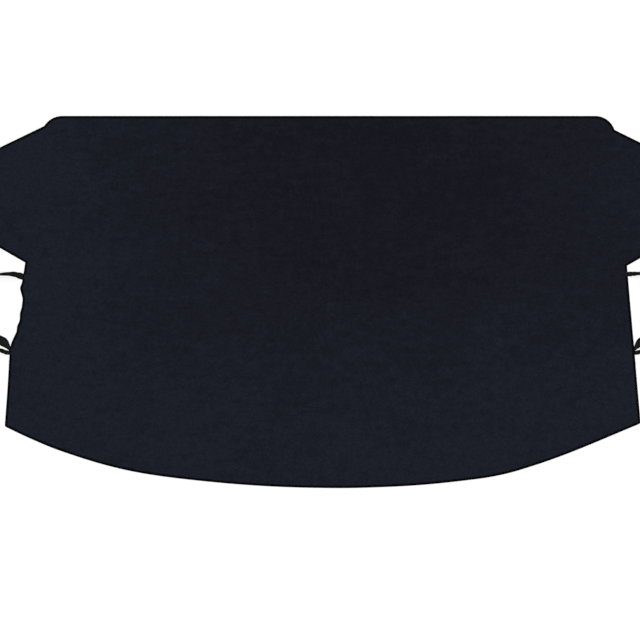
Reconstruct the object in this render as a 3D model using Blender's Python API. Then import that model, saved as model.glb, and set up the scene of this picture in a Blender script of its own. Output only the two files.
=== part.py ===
# Windshield frost cover: a dark cloth sheet with a door flap at each side, laid out flat.
# Metres, +Z up. The cover lies on Z = 0, its top edge towards +Y, its origin below its middle.
import math

import bmesh
import bpy
import numpy as np
from mathutils import Vector
from mathutils.geometry import delaunay_2d_cdt

# The sheet
TOP_WIDTH = 1.367            # across the straight top edge's two side lines
BOTTOM_WIDTH = 1.524         # across the two bottom corners
SIDE_HEIGHT = 0.7405         # top edge to bottom corners
BOTTOM_DROP = 0.1514         # how far the bottom edge bows below its corners
SHOULDER_RADIUS = 0.050
BOTTOM_CORNER_RADIUS = 0.006
SHEET_THICKNESS = 0.0008

# The door flaps, cut in one piece with the sheet
FLAP_SPAN = 1.770            # tip to tip
FLAP_ROOT_DROP = 0.0302      # top edge down to the flap's upper root
FLAP_ROOT_HEIGHT = 0.325     # along the side line
FLAP_TIP_DROP = 0.0968       # the flap's upper root down to the top of its tip
FLAP_TIP_HEIGHT = 0.1345
FLAP_CORNER_RADIUS = 0.025

# The tape folded round the raw edge
TAPE_WIDTH = 0.0055
TAPE_THICKNESS = 0.0005

# The elastic bands
BAND_WIDTH = 0.022
BAND_THICKNESS = 0.0012
TAB_LENGTH = 0.025           # the sewn end that lies under the sheet
LEFT_ROOT_WIDTH = 0.0145     # a band is bunched where it's sewn in: left upper end
RIGHT_ROOT_WIDTH = 0.0105    # right upper end
LOWER_ROOT_WIDTH = 0.0085    # both ends at the lower anchor
ROOT_RUN = 0.025             # from the rim to where a band has its full width
FLAT_RUN = 0.0025            # a band stays flat this far past the rim
UPPER_ANCHOR = 0.0272        # flap's lower root down to the middle of the upper sewn end
LOWER_ANCHOR = 0.2044        # the same for the lower end of the mirror strap
ANCHOR_SPACE = 0.0005        # between the two bands sewn in side by side at the lower anchor
MIRROR_LOOP_REACH = 0.142
FOLDED_END = 0.024           # the tie strap's end, folded back on itself

# How it lies
GAP = 0.0003                 # between pieces that touch
LAY_SHEAR_RATIO = 0.0190     # the cloth is pulled a little out of square
FLAP_SLIP = 0.0038           # the left flap lies this much above its place, the right one below
CORNER_SLIP = 0.0037         # the left bottom corner lies this much below its place, the right above
ANCHOR_SLIP = 0.0032         # the left upper sewn end lies this much below its place, the right above
RIGHT_RISE_SHARE = 0.20      # the right mirror strap leaves its seam nearly level, next to the left one
SAG_RUN = 0.014              # over this width the sheet comes down from the tape to the floor
FADE = 0.040                 # over this width a raised place in the sheet dies away
GATHER_HEIGHT = 0.0026       # small puckers in the left side between its two anchors
GATHER_PITCH = 0.027
GATHER_INSET = 0.0006        # how far the edge moves in and out at each pucker

# The left side bows in and out: distance below the flap's lower root, and outward shift.
LEFT_BOW = ((0.0, 0.0), (0.030, 0.0008), (0.046, 0.0021), (0.057, 0.0046), (0.068, 0.0008),
            (0.082, -0.0040), (0.097, -0.0054), (0.118, -0.0031), (0.137, -0.0036), (0.147, -0.0005),
            (0.161, 0.0003), (0.176, 0.0046), (0.195, 0.0098), (0.226, 0.0092), (0.313, 0.0039),
            (0.389, 0.0))
# The bottom edge: share of the half width, left to right, and share of the drop above its lowest point.
BOTTOM_BOW_SHARES = ((-1.0, 1.0), (-0.92, 0.807), (-0.824, 0.605), (-0.68, 0.372), (-0.54, 0.2195),
              (-0.35, 0.101), (-0.16, 0.027), (0.03, 0.0), (0.17, 0.011), (0.31, 0.047),
              (0.45, 0.117), (0.547, 0.187), (0.64, 0.306), (0.783, 0.554), (1.0, 1.0))

# The mirror strap's loop: outward share of its reach, and share of the way between its anchors.
MIRROR_LOOP_SHARES = ((0.095, -0.025), (0.165, -0.037), (0.235, -0.040), (0.37, -0.036), (0.64, -0.015),
                (0.88, 0.075), (1.0, 0.27), (0.985, 0.47), (0.85, 0.63), (0.62, 0.740),
                (0.40, 0.812), (0.195, 0.8745), (0.118, 0.9083), (0.057, 0.9531))
# Each band's turn about its own length, in degrees: 0 lies flat, 90 stands on edge.
# The first value of a pair is the share of the band's free length.
LEFT_TURN = ((0.0, 0), (0.037, 54), (0.10, 68), (0.155, 75), (0.25, 86), (0.58, 88), (0.84, 3), (1.0, 0))
RIGHT_TURN = ((0.0, 0), (0.026, 54), (0.055, 69), (0.10, 73), (0.22, 86), (0.58, 88), (0.84, 3), (1.0, 0))
TIE_TURN = ((0.0, 0), (0.045, 58), (0.09, 70), (0.18, 78), (0.34, 86), (0.66, 86), (0.88, 0), (1.0, 0))
# The tie strap's free length: outward and downward from its anchor.
TIE_ROUTE = ((0.0090, -0.0022), (0.0160, -0.0049), (0.0230, -0.0076), (0.0580, -0.0150),
             (0.0880, -0.0080), (0.1070, 0.0180), (0.1125, 0.0560), (0.1110, 0.1040), (0.1060, 0.1500))

# Mesh spacing
SIDE_STEP = 0.0065
EDGE_STEP = 0.075
INNER_STEP = 0.085
BAND_STEP = 0.0085
ARC_STEPS = 4

TOP_Y = (SIDE_HEIGHT + BOTTOM_DROP) / 2
SIDE_SLOPE = (BOTTOM_WIDTH - TOP_WIDTH) / 2 / SIDE_HEIGHT
FLAP_TOP_Y = TOP_Y - FLAP_ROOT_DROP
FLAP_BOTTOM_Y = FLAP_TOP_Y - FLAP_ROOT_HEIGHT
TIE_ANCHOR = LOWER_ANCHOR + LOWER_ROOT_WIDTH + ANCHOR_SPACE
HEM_INSET = TAPE_THICKNESS + GAP              # the sheet's raw edge inside the tape's fold
HEM_WIDTH = TAPE_WIDTH + SAG_RUN / 4          # the sheet stays parallel to the tape this far in
STACK = BAND_THICKNESS + GAP                  # what one sewn end lifts the sheet by


def smooth_step(value):
    """Rises from 0 to 1 as value goes from 0 to 1, level at both ends."""
    value = np.clip(value, 0.0, 1.0)
    return value * value * (3.0 - 2.0 * value)


def curve_through(points, step):
    """A smooth curve through the points (Catmull-Rom), about one point per step of its length."""
    points = np.array(points, dtype=float)
    padded = np.vstack((2 * points[0] - points[1], points, 2 * points[-1] - points[-2]))
    out = [points[0]]
    for before, start, end, after in zip(padded, padded[1:], padded[2:], padded[3:]):
        count = max(1, round(np.linalg.norm(end - start) / step))
        for t in np.arange(1, count + 1) / count:
            out.append(0.5 * (2 * start + (end - before) * t
                              + (2 * before - 5 * start + 4 * end - after) * t ** 2
                              + (3 * start - 3 * end + after - before) * t ** 3))
    return np.array(out)


def side_x(y):
    """Half width of the sheet between its side lines at height y."""
    return TOP_WIDTH / 2 + SIDE_SLOPE * (TOP_Y - y)


def corner_y(side):
    """Height of a bottom corner, on the left (-1) or right (1)."""
    return TOP_Y - SIDE_HEIGHT + side * CORNER_SLIP


def upper_anchor(side):
    """The flap's lower root down to the middle of the upper sewn end."""
    return UPPER_ANCHOR - side * ANCHOR_SLIP


def left_bow(below):
    """Outward shift of the left side line at a distance below the flap's lower root."""
    side_length = FLAP_BOTTOM_Y - corner_y(-1)
    scale = side_length / LEFT_BOW[-1][0]
    curve = curve_through([(distance * scale, shift) for distance, shift in LEFT_BOW], SIDE_STEP)
    return np.interp(below, curve[:, 0], curve[:, 1])


def gather_window(below):
    """1 between the two anchors, 0 at and beyond them."""
    half_tab = BAND_WIDTH / 2 + SIDE_STEP
    rise = smooth_step((below - upper_anchor(-1) - half_tab) / GATHER_PITCH)
    return rise * smooth_step((LOWER_ANCHOR - half_tab - below) / GATHER_PITCH)


def edge_lift(below, side):
    """How far the edge is raised: over the sewn ends of the bands, and at the puckers on the left."""
    half_tab = BAND_WIDTH / 2 + 1.3 * SIDE_STEP
    fade = FADE / 2
    upper = STACK * smooth_step((half_tab + fade - abs(below - upper_anchor(side))) / fade)
    middle = (LOWER_ANCHOR + TIE_ANCHOR) / 2
    half_pair = (TIE_ANCHOR - LOWER_ANCHOR) / 2 + half_tab
    lower = 2 * STACK * smooth_step((half_pair + fade - abs(below - middle)) / fade)
    lift = max(upper, lower)
    if side < 0:
        wave = 0.5 - 0.5 * math.cos(2 * math.pi * (below - upper_anchor(-1)) / GATHER_PITCH)
        lift += GATHER_HEIGHT * wave * gather_window(below)
    return lift


def side_shift(below, side):
    """Outward shift of the side line: none on the right, the bow and the puckers on the left."""
    if side > 0:
        return 0.0
    wave = math.sin(2 * math.pi * (below - upper_anchor(-1)) / GATHER_PITCH)
    return left_bow(below) + GATHER_INSET / 2 * wave * gather_window(below)


def side_point(below, side):
    """A point on the cover's rim, below the flap, on the left (-1) or right (1)."""
    y = FLAP_BOTTOM_Y - below
    return np.array((side * (side_x(y) + side_shift(below, side)), y))


def line(start, end, step):
    """Points from start up to but not including end, about one per step."""
    start, end = np.array(start), np.array(end)
    count = max(1, round(np.linalg.norm(end - start) / step))
    return [start + (end - start) * i / count for i in range(count)]


def rounded(before, corner, after, radius):
    """An arc of the given radius in place of a convex or concave corner."""
    before, corner, after = np.array(before), np.array(corner), np.array(after)
    back = (before - corner) / np.linalg.norm(before - corner)
    ahead = (after - corner) / np.linalg.norm(after - corner)
    half = math.acos(np.clip(back @ ahead, -1, 1)) / 2
    reach = radius / math.tan(half)
    middle = corner + (back + ahead) / np.linalg.norm(back + ahead) * radius / math.sin(half)
    start, end = corner + back * reach - middle, corner + ahead * reach - middle
    sweep = math.pi - 2 * half
    points = []
    for i in range(ARC_STEPS + 1):
        share = i / ARC_STEPS
        mix = (math.sin((1 - share) * sweep) * start + math.sin(share * sweep) * end) / math.sin(sweep)
        points.append(middle + mix)
    return points


def half_outline(side):
    """Rim of one half, from the top middle to the bottom middle: points and their lifts."""
    # The shoulder is an arc that touches the top edge and the side line; the flap's top edge cuts it.
    arc_y = TOP_Y - SHOULDER_RADIUS
    arc_x = side_x(arc_y) - SHOULDER_RADIUS * math.hypot(1, SIDE_SLOPE)
    flap_top = FLAP_TOP_Y - side * FLAP_SLIP
    root_x, tip_x = side_x(flap_top), FLAP_SPAN / 2
    fall = FLAP_TIP_DROP / (tip_x - root_x)
    height = flap_top + fall * (root_x - arc_x) - arc_y
    square = 1 + fall * fall
    notch_x = (fall * height + math.sqrt(square * SHOULDER_RADIUS ** 2 - height ** 2)) / square
    notch = np.array((arc_x + notch_x, arc_y + height - fall * notch_x))
    end_angle = math.atan2(notch[1] - arc_y, notch[0] - arc_x)

    bottom_root = side_point(side * FLAP_SLIP, 1)
    tip_top = (tip_x, flap_top - FLAP_TIP_DROP)
    tip_bottom = (tip_x, tip_top[1] - FLAP_TIP_HEIGHT)
    corner = (side_x(corner_y(side)), corner_y(side))

    points = line((0, TOP_Y), (arc_x, TOP_Y), EDGE_STEP)
    for i in range(ARC_STEPS + 1):
        angle = math.pi / 2 + (end_angle - math.pi / 2) * i / ARC_STEPS
        points.append(np.array((arc_x + SHOULDER_RADIUS * math.cos(angle),
                                arc_y + SHOULDER_RADIUS * math.sin(angle))))
    top_corner = rounded(notch, tip_top, tip_bottom, FLAP_CORNER_RADIUS)
    low_corner = rounded(tip_top, tip_bottom, bottom_root, FLAP_CORNER_RADIUS)
    points += line(notch, top_corner[0], EDGE_STEP)[1:] + top_corner
    points += line(top_corner[-1], low_corner[0], EDGE_STEP)[1:] + low_corner
    points += line(low_corner[-1], bottom_root, EDGE_STEP)[1:]
    points = [np.array((side * x, y)) for x, y in points]
    lifts = [0.0] * len(points)

    # The side line, close-set where the bands are sewn in.
    side_length = FLAP_BOTTOM_Y - corner[1]
    close_end = min(TIE_ANCHOR + BAND_WIDTH + FADE, side_length - EDGE_STEP / 2)
    close = np.linspace(side * FLAP_SLIP, close_end, round(close_end / SIDE_STEP))
    wide = np.linspace(close_end, side_length - 2 * BOTTOM_CORNER_RADIUS, 4)[1:]
    for below in (*close, *wide):
        points.append(side_point(below, side))
        lifts.append(edge_lift(below, side))

    # The bottom corner, then the bow.
    curve = curve_through(BOTTOM_BOW_SHARES, 0.02)
    bow = []
    for u in side * np.linspace(0.985, 0, 18):
        rise = (corner[1] + TOP_Y) * np.interp(u, curve[:, 0], curve[:, 1])
        bow.append(np.array((corner[0] * u, -TOP_Y + rise)))
    turn = rounded(points[-1], (side * corner[0], corner[1]), bow[0], BOTTOM_CORNER_RADIUS)
    points += turn + bow
    lifts += [0.0] * (len(turn) + len(bow))
    return points, lifts


def cover_outline():
    """The whole rim, anticlockwise from the top middle: points and lifts as arrays."""
    left, left_lifts = half_outline(-1)
    right, right_lifts = half_outline(1)
    points = left + right[-2:0:-1]
    lifts = left_lifts + right_lifts[-2:0:-1]
    return np.array(points), np.array(lifts)


def inset(rim, distance):
    """The rim moved inwards by the distance, corners kept in step by their mitre."""
    along = np.roll(rim, -1, axis=0) - rim
    along /= np.linalg.norm(along, axis=1, keepdims=True)
    inward = np.stack((-along[:, 1], along[:, 0]), axis=1)
    before = np.roll(inward, 1, axis=0)
    mitre = inward + before
    return rim + mitre * distance / (1 + (inward * before).sum(axis=1, keepdims=True))


def nearest_on_rim(places, rim, lifts):
    """For each place: its distance to the rim, and the rim's lift at the nearest point."""
    ends = np.roll(rim, -1, axis=0)
    along = ends - rim
    share = ((places[:, None] - rim) * along).sum(axis=2) / (along ** 2).sum(axis=1)
    share = np.clip(share, 0, 1)
    distance = np.linalg.norm(places[:, None] - rim - share[..., None] * along, axis=2)
    best = distance.argmin(axis=1)
    row = np.arange(len(places))
    part = share[row, best]
    lift = lifts[best] * (1 - part) + np.roll(lifts, -1)[best] * part
    return distance[row, best], lift


def sheet_height(places, rim, lifts):
    """Height of the sheet's underside: raised over the tape and the sewn ends, else on the floor."""
    depth, lift = nearest_on_rim(places, rim, lifts)
    over_tape = HEM_INSET * (1 - smooth_step((depth - HEM_WIDTH) / SAG_RUN))
    level = TAB_LENGTH + 2 * BAND_WIDTH / 3
    return over_tape + lift * (1 - smooth_step((depth - level) / FADE))


def lay(points):
    """The slight pull out of square, about the height of the flaps' tips."""
    tip_middle = FLAP_TOP_Y - FLAP_TIP_DROP - FLAP_TIP_HEIGHT / 2
    points = np.array(points, dtype=float)
    points[:, 0] += LAY_SHEAR_RATIO * (points[:, 1] - tip_middle)
    return points


def make_object(name, points, faces, material):
    """One closed mesh object, its faces turned outwards."""
    mesh = bpy.data.meshes.new(name)
    mesh.from_pydata(lay(points).tolist(), [], faces)
    work = bmesh.new()
    work.from_mesh(mesh)
    bmesh.ops.delete(work, geom=[vert for vert in work.verts if not vert.link_faces], context="VERTS")
    bmesh.ops.triangulate(work, faces=work.faces)
    bmesh.ops.recalc_face_normals(work, faces=work.faces)
    work.to_mesh(mesh)
    work.free()
    mesh.materials.append(material)
    obj = bpy.data.objects.new(name, mesh)
    bpy.context.collection.objects.link(obj)
    return obj


def make_material(name, colour, roughness):
    material = bpy.data.materials.new(name)
    material.use_nodes = True
    shader = material.node_tree.nodes["Principled BSDF"]
    shader.inputs["Base Color"].default_value = (*colour, 1.0)
    shader.inputs["Roughness"].default_value = roughness
    shader.inputs["Metallic"].default_value = 0.0
    return material


def make_sheet(rim, lifts, material):
    """The cloth: a fine net of triangles inside the rim, given its thickness."""
    edge = inset(rim, HEM_INSET)
    beside_bands = lifts > 0
    rings = [inset(rim, HEM_WIDTH), inset(rim, HEM_WIDTH + SAG_RUN)]
    depths = [HEM_WIDTH, HEM_WIDTH + SAG_RUN]
    level = TAB_LENGTH + 2 * BAND_WIDTH / 3
    for extra in (level, level + FADE / 2, level + FADE):
        rings.append(inset(rim, extra)[beside_bands])
        depths.append(extra)
    inner = []
    for ring, depth in zip(rings, depths):
        true_depth, _ = nearest_on_rim(ring, rim, lifts)
        inner += list(ring[true_depth > 0.97 * depth])
    columns = np.arange(-FLAP_SPAN / 2, FLAP_SPAN / 2, INNER_STEP)
    for row, y in enumerate(np.arange(-TOP_Y, TOP_Y, INNER_STEP * 0.87)):
        inner += [np.array((x + INNER_STEP / 2 * (row % 2), y)) for x in columns]
    inner = np.array(inner)
    ring_count = len(inner) - len(columns) * (row + 1)
    on_grid = np.arange(len(inner)) >= ring_count
    spread = np.linalg.norm(inner[:, None] - inner[None, :ring_count], axis=2).min(axis=1)
    inner = inner[~on_grid | (spread > INNER_STEP * 0.45)]

    border = [(i, (i + 1) % len(edge)) for i in range(len(edge))]
    flat = [Vector(point) for point in (*edge, *inner)]
    found, _, triangles, _, _, _ = delaunay_2d_cdt(flat, border, [], 1, 1e-6)
    plan = np.array([tuple(point) for point in found])
    bottom = sheet_height(plan, rim, lifts)
    count = len(plan)
    points = np.vstack((np.column_stack((plan, bottom)), np.column_stack((plan, bottom + SHEET_THICKNESS))))
    uses = {}
    for triangle in triangles:
        for start, end in zip(triangle, triangle[1:] + triangle[:1]):
            uses[(start, end)] = (end, start)
    rim_edges = [pair for pair, back in uses.items() if back not in uses]
    faces = [tuple(reversed(triangle)) for triangle in triangles]
    faces += [tuple(i + count for i in triangle) for triangle in triangles]
    faces += [(start, end, end + count, start + count) for start, end in rim_edges]
    return make_object("cover_sheet", points, faces, material)


def make_binding(rim, lifts, material):
    """The tape: a C-shaped section folded over the sheet's raw edge, carried all the way round."""
    height = 2 * HEM_INSET + SHEET_THICKNESS
    bevel = height / 4
    section = ((TAPE_WIDTH, 0.0), (bevel, 0.0), (0.0, bevel), (0.0, height - bevel), (bevel, height),
               (TAPE_WIDTH, height), (TAPE_WIDTH, height - TAPE_THICKNESS),
               (TAPE_THICKNESS, height - TAPE_THICKNESS), (TAPE_THICKNESS, TAPE_THICKNESS),
               (TAPE_WIDTH, TAPE_THICKNESS))
    rings = [np.column_stack((inset(rim, inward), lifts + up)) for inward, up in section]
    points = np.stack(rings, axis=1).reshape(-1, 3)
    faces = []
    size, count = len(section), len(rim)
    for i in range(count):
        here, ahead = i * size, (i + 1) % count * size
        for j in range(size):
            k = (j + 1) % size
            faces.append((here + j, here + k, ahead + k, ahead + j))
    return make_object("edge_binding", points, faces, material)


def folded_end(path, across):
    """Stations of a hem at the end of a flat band: round a half turn and back over itself."""
    along = np.append(path[-1] - path[-2], 0.0)
    along /= np.linalg.norm(along)
    up = np.array((0.0, 0.0, 1.0))
    radius = (BAND_THICKNESS + GAP) / 2
    centre = np.append(path[-1], BAND_THICKNESS + GAP / 2)
    middle, thick = [], []
    for angle in np.radians((-45, 0, 45, 90)):
        outward = along * math.cos(angle) + up * math.sin(angle)
        middle.append(centre + radius * outward)
        thick.append(-outward)
    middle.append(centre + radius * up - along * FOLDED_END)
    thick.append(-up)
    return np.array(middle), np.tile(across, (len(middle), 1)), np.array(thick)


def make_band(name, route, turn_profile, hand, root_widths, material):
    """A flat elastic band along a route on the floor, turned about its length as it goes.

    hand is 1 or -1 and says which of its edges rises. A band with two root widths is sewn in at
    both ends, at the second above the other band's tab; one with a single root ends in a hem.
    """
    path = curve_through(route, BAND_STEP)
    steps = np.linalg.norm(np.diff(path, axis=0), axis=1)
    length = np.concatenate(([0], np.cumsum(steps)))
    both_sewn = len(root_widths) == 2
    free_start, free_end = TAB_LENGTH + FLAT_RUN, length[-1] - TAB_LENGTH * both_sewn
    half = np.full(len(path), BAND_WIDTH / 2)
    for root, distance in zip(root_widths, (length, length[-1] - length)):
        half -= (BAND_WIDTH - root) / 2 * (1 - smooth_step((distance - TAB_LENGTH) / ROOT_RUN))
    share = (length - free_start) / (free_end - free_start)
    profile = np.array(turn_profile, dtype=float)
    segment = np.clip(np.searchsorted(profile[:, 0], share) - 1, 0, len(profile) - 2)
    low, high = profile[segment], profile[segment + 1]
    blend = smooth_step((share - low[:, 0]) / (high[:, 0] - low[:, 0]))
    turn = np.radians(low[:, 1] + (high[:, 1] - low[:, 1]) * blend)

    along = np.gradient(path, axis=0)
    along /= np.linalg.norm(along, axis=1, keepdims=True)
    across = hand * np.stack((-along[:, 1], along[:, 0], np.zeros(len(path))), axis=1)
    up = np.array((0.0, 0.0, 1.0))
    wide = across * np.cos(turn)[:, None] + up * np.sin(turn)[:, None]
    thick = -across * np.sin(turn)[:, None] + up * np.cos(turn)[:, None]
    height = half * np.sin(turn) + BAND_THICKNESS / 2 * np.cos(turn)
    wide = wide * half[:, None]
    if both_sewn:
        height += STACK * smooth_step((length - free_end) / (2 * BAND_STEP) + 1)
    middle = np.column_stack((path, height))
    if not both_sewn:
        hem = folded_end(path, wide[-1])
        middle, wide, thick = (np.vstack(pair) for pair in zip((middle, wide, thick), hem))
    corners = ((-1, -1), (1, -1), (1, 1), (-1, 1))
    rings = [middle + wide * a + thick * b * BAND_THICKNESS / 2 for a, b in corners]
    points = np.stack(rings, axis=1).reshape(-1, 3)
    faces = [(0, 1, 2, 3), tuple(len(points) - 4 + i for i in (3, 2, 1, 0))]
    for i in range(len(middle) - 1):
        for j in range(4):
            k = (j + 1) % 4
            faces.append((4 * i + j, 4 * i + 4 + j, 4 * i + 4 + k, 4 * i + k))
    return make_object(name, points, faces, material)


def sewn_end(rim_point, free_point):
    """The last points of a band that is sewn in at the rim: under the sheet, at the rim, flat past it."""
    outward = (free_point - rim_point) / np.linalg.norm(free_point - rim_point)
    return [rim_point - outward * TAB_LENGTH, rim_point, rim_point + outward * FLAT_RUN]


def make_straps(side, label, material):
    """The two elastic bands of one side."""
    outward = np.array((side, 0.0))
    upper, lower, tie = (side_point(below, side) for below in (upper_anchor(side), LOWER_ANCHOR, TIE_ANCHOR))
    root, rise, turn = LEFT_ROOT_WIDTH, 1.0, LEFT_TURN
    if side > 0:
        root, rise, turn = RIGHT_ROOT_WIDTH, RIGHT_RISE_SHARE, RIGHT_TURN
    loop = []
    for out, down in MIRROR_LOOP_SHARES:
        down = max(down, down * rise)
        loop.append(upper + (lower - upper) * down + outward * out * MIRROR_LOOP_REACH)
    route = sewn_end(upper, loop[0]) + loop + sewn_end(lower, loop[-1])[::-1]
    make_band(label + "_mirror_strap", route, turn, -side, (root, LOWER_ROOT_WIDTH), material)
    free = [tie + np.array((side * out, -down)) for out, down in TIE_ROUTE]
    route = sewn_end(tie, free[0]) + free
    make_band(label + "_tie_strap", route, TIE_TURN, -side, (LOWER_ROOT_WIDTH,), material)


def main():
    for obj in list(bpy.data.objects):
        bpy.data.objects.remove(obj, do_unlink=True)
    rim, lifts = cover_outline()
    make_sheet(rim, lifts, make_material("navy_cloth", (0.0110, 0.0115, 0.0190), 0.75))
    make_binding(rim, lifts, make_material("black_tape", (0.0030, 0.0030, 0.0035), 0.65))
    band = make_material("black_elastic", (0.0120, 0.0125, 0.0110), 0.8)
    for side, label in ((-1, "left"), (1, "right")):
        make_straps(side, label, band)


main()
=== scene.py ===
import math
import bpy
import numpy as np
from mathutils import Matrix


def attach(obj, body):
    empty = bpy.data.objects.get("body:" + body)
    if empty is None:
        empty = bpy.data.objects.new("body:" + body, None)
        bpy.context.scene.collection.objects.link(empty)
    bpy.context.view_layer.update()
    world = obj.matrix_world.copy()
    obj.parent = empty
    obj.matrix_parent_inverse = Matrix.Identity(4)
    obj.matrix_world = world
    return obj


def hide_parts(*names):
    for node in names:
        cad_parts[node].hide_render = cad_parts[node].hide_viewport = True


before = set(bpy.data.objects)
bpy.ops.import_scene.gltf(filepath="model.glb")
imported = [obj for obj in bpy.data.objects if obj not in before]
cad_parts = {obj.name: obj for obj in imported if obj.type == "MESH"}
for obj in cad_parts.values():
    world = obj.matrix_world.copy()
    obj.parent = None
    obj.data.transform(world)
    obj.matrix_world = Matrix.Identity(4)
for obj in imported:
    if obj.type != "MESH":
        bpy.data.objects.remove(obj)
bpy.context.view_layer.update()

# The cover's cut and lay in metres, as on the solids. It lies on Z = 0, its top edge towards +Y.
cover = dict(
    topWidth=1.367, bottomWidth=1.524, sideHeight=0.7405, bottomDrop=0.1514,
    shoulderRadius=0.050, cornerRadius=0.006, thickness=0.0008,
    flapSpan=1.770, flapRootDrop=0.0302, flapRootHeight=0.325, flapTipDrop=0.0968, flapTipHeight=0.1345,
    flapCornerRadius=0.025,
    layShear=0.0190,        # the cloth is pulled a little out of square
    flapSlip=0.0038,        # the left flap lies this much above its place, the right one below
    cornerSlip=0.0037,      # the left bottom corner lies this much below its place, the right above
    sagRun=0.014,           # over this width it comes down from the tape to the floor
    fade=0.040,             # over this width a raised place dies away
    anchorEase=0.0085,      # a sewn end lifts the rim this far past the band on either side
    gatherHeight=0.0026, gatherPitch=0.027, gatherInset=0.0006,
    gatherEase=0.0065,      # the puckers begin this far from the bands
    gatherUneven=0.13, gatherDrift=2.3,     # how unlike they are, and how soon that changes
    edgeWave=0.00066,       # the rim's slow rise and fall
    inset=0.0016,           # the sheet's raw edge lies this far inside the rim
    waveRun=0.075,          # over this width from the tape the waves come up
    rippleHeight=0.0028,    # the low waves in the middle of the cloth
    wrinkleSlope=0.0042)    # the short soft creases between them: height for each metre of their length
tape = dict(width=0.0055, thickness=0.0005, step=0.0042,
            foldReach=0.9,          # depth of the round fold as a share of half the tape's height
            foldCount=9,
            innerRound=0.0004,
            sway=0.00022, swayPitch=0.041, swayRun=0.23)    # its inner edge isn't sewn dead straight
band = dict(width=0.022, thickness=0.0012, tab=0.025, flatRun=0.0025, hem=0.024,
            leftRoot=0.0145, rightRoot=0.0105, lowerRoot=0.0085, rootRun=0.025,
            upperAnchor=0.0272, anchorSlip=0.0032, lowerAnchor=0.2044, anchorSpace=0.0005,
            loopReach=0.142, rightRise=0.20,
            crossRun=0.017,         # along this run the loop's lower end climbs over the tie strap's
            step=0.0024, ribs=20, ribDepth=0.00012, ribFade=8,      # the ribs fade towards its edges
            edgeShare=0.65, edgeFade=14,            # and its thickness drops close to them
            acrossCount=81, acrossCrowding=0.25,    # its columns stand closer there
            hemCount=12, hemStart=-75)              # the fold's first angle: -90 is the strap's end
gap = 0.0003

# Left side: distance below the flap, outward shift. It bows in and out as it lies.
leftBow = ((0.0, 0.0), (0.030, 0.0008), (0.046, 0.0021), (0.057, 0.0046), (0.068, 0.0008),
           (0.082, -0.0040), (0.097, -0.0054), (0.118, -0.0031), (0.137, -0.0036), (0.147, -0.0005),
           (0.161, 0.0003), (0.176, 0.0046), (0.195, 0.0098), (0.226, 0.0092), (0.313, 0.0039),
           (0.389, 0.0))
# Bottom edge: share of the half width, left to right, share of the drop above its lowest point.
bottomBow = ((-1.0, 1.0), (-0.92, 0.807), (-0.824, 0.605), (-0.68, 0.372), (-0.54, 0.2195),
             (-0.35, 0.101), (-0.16, 0.027), (0.03, 0.0), (0.17, 0.011), (0.31, 0.047),
             (0.45, 0.117), (0.547, 0.187), (0.64, 0.306), (0.783, 0.554), (1.0, 1.0))
# Mirror strap: outward share of its reach, share of the way between its anchors.
mirrorRoute = ((0.095, -0.025), (0.165, -0.037), (0.235, -0.040), (0.37, -0.036), (0.64, -0.015),
               (0.88, 0.075), (1.0, 0.27), (0.985, 0.47), (0.85, 0.63), (0.62, 0.740),
               (0.40, 0.812), (0.195, 0.8745), (0.118, 0.9083), (0.057, 0.9531))
# Tie strap: outward and downward from its anchor.
tieRoute = ((0.0090, -0.0022), (0.0160, -0.0049), (0.0230, -0.0076), (0.0580, -0.0150),
            (0.0880, -0.0080), (0.1070, 0.0180), (0.1125, 0.0560), (0.1110, 0.1040), (0.1060, 0.1500))
# Share of the free length, turn in degrees: 0 lies flat, 90 stands on edge.
leftTurn = ((0.0, 0), (0.037, 54), (0.10, 68), (0.155, 75), (0.25, 86), (0.58, 88), (0.84, 3), (1.0, 0))
rightTurn = ((0.0, 0), (0.026, 54), (0.055, 69), (0.10, 73), (0.22, 86), (0.58, 88), (0.84, 3), (1.0, 0))
tieTurn = ((0.0, 0), (0.045, 58), (0.09, 70), (0.18, 78), (0.34, 86), (0.66, 86), (0.88, 0), (1.0, 0))

topY = (cover["sideHeight"] + cover["bottomDrop"]) / 2
sideSlope = (cover["bottomWidth"] - cover["topWidth"]) / 2 / cover["sideHeight"]
flapTopY = topY - cover["flapRootDrop"]
flapBottomY = flapTopY - cover["flapRootHeight"]
cornerY = {side: topY - cover["sideHeight"] + side * cover["cornerSlip"] for side in (-1, 1)}
upperAnchor = {side: band["upperAnchor"] - side * band["anchorSlip"] for side in (-1, 1)}
tieAnchor = band["lowerAnchor"] + band["lowerRoot"] + band["anchorSpace"]
hemInset = tape["thickness"] + gap
hemWidth = tape["width"] + cover["sagRun"] / 4
stack = band["thickness"] + gap
tapeHeight = 2 * hemInset + cover["thickness"]
levelRun = band["tab"] + 2 * band["width"] / 3    # a raised place keeps its height this far in
up = np.array((0.0, 0.0, 1.0))


def smoothStep(value):  # 3v^2 - 2v^3 between 0 and 1
    value = np.clip(value, 0.0, 1.0)
    return value * value * (3.0 - 2.0 * value)


def curveThrough(points, step):
    # Catmull-Rom: p(t) = (2b + (c-a)t + (2a-5b+4c-d)t^2 + (3b-3c+d-a)t^3) / 2 on each span b..c
    points = np.array(points, dtype=float)
    padded = np.vstack((2 * points[0] - points[1], points, 2 * points[-1] - points[-2]))
    out = [points[:1]]
    for a, b, c, d in zip(padded, padded[1:], padded[2:], padded[3:]):
        count = max(1, int(round(np.linalg.norm(c - b) / step)))
        t = (np.arange(1, count + 1) / count)[:, None]
        out.append(0.5 * (2 * b + (c - a) * t + (2 * a - 5 * b + 4 * c - d) * t ** 2
                          + (3 * b - 3 * c + d - a) * t ** 3))
    return np.vstack(out)


def unit(vectors):
    return vectors / np.linalg.norm(vectors, axis=-1, keepdims=True)


def sideX(y):  # half width between the side lines
    return cover["topWidth"] / 2 + sideSlope * (topY - y)


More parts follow.
